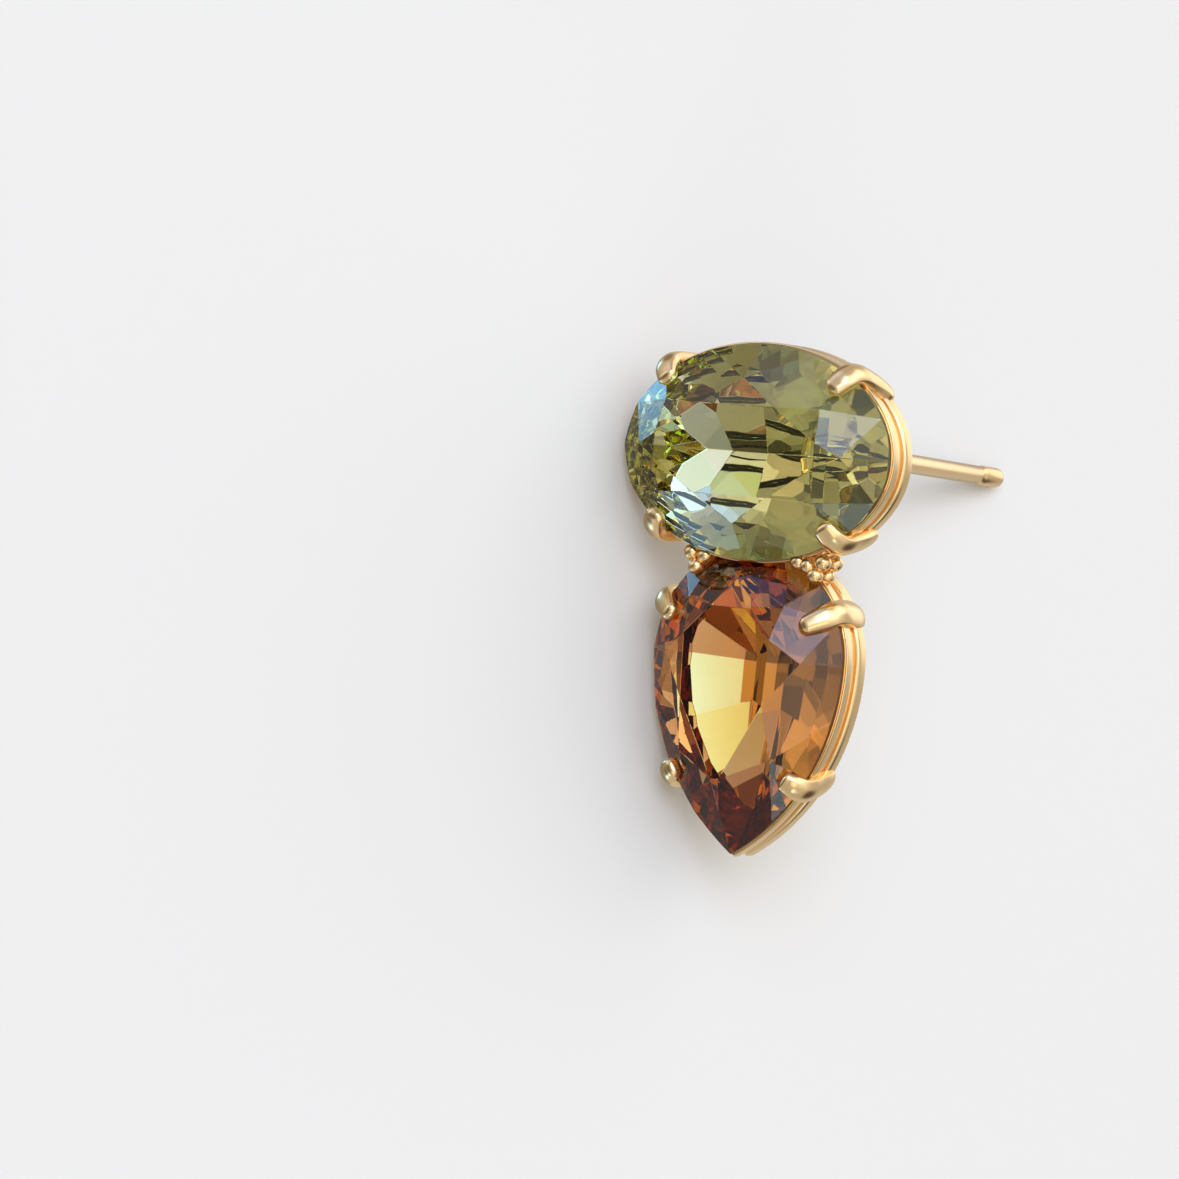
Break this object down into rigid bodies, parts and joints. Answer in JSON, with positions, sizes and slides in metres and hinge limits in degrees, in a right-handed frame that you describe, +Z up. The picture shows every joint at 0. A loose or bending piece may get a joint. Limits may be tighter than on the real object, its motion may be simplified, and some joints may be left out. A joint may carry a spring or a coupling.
{
  "type": "stud earring",
  "caption": "Stud earring: an olive oval stone over an amber pear stone, claw set in gold-coloured metal with bead clusters and a post.",
  "frame": {"origin": "on the surface the stud lies on, under the middle of its bounding box", "axes": "+Z up from the surface; the stud lies on its post's end and on one long side of its two collars, its post towards +X and the oval stone towards +Y, the pear's point towards -Y; the faces of the stones look to -X and up"},
  "size_m": [0.0182, 0.0166, 0.01],
  "materials": {
    "gold": "polished, pale warm gold plating",
    "olive_stone": "faceted and polished, foil-backed",
    "amber_stone": "faceted and polished, foil-backed"
  },
  "bodies": {
    "root": {"setting": "gold", "oval_stone": "olive_stone", "pear_stone": "amber_stone"}
  },
  "joints": []
}
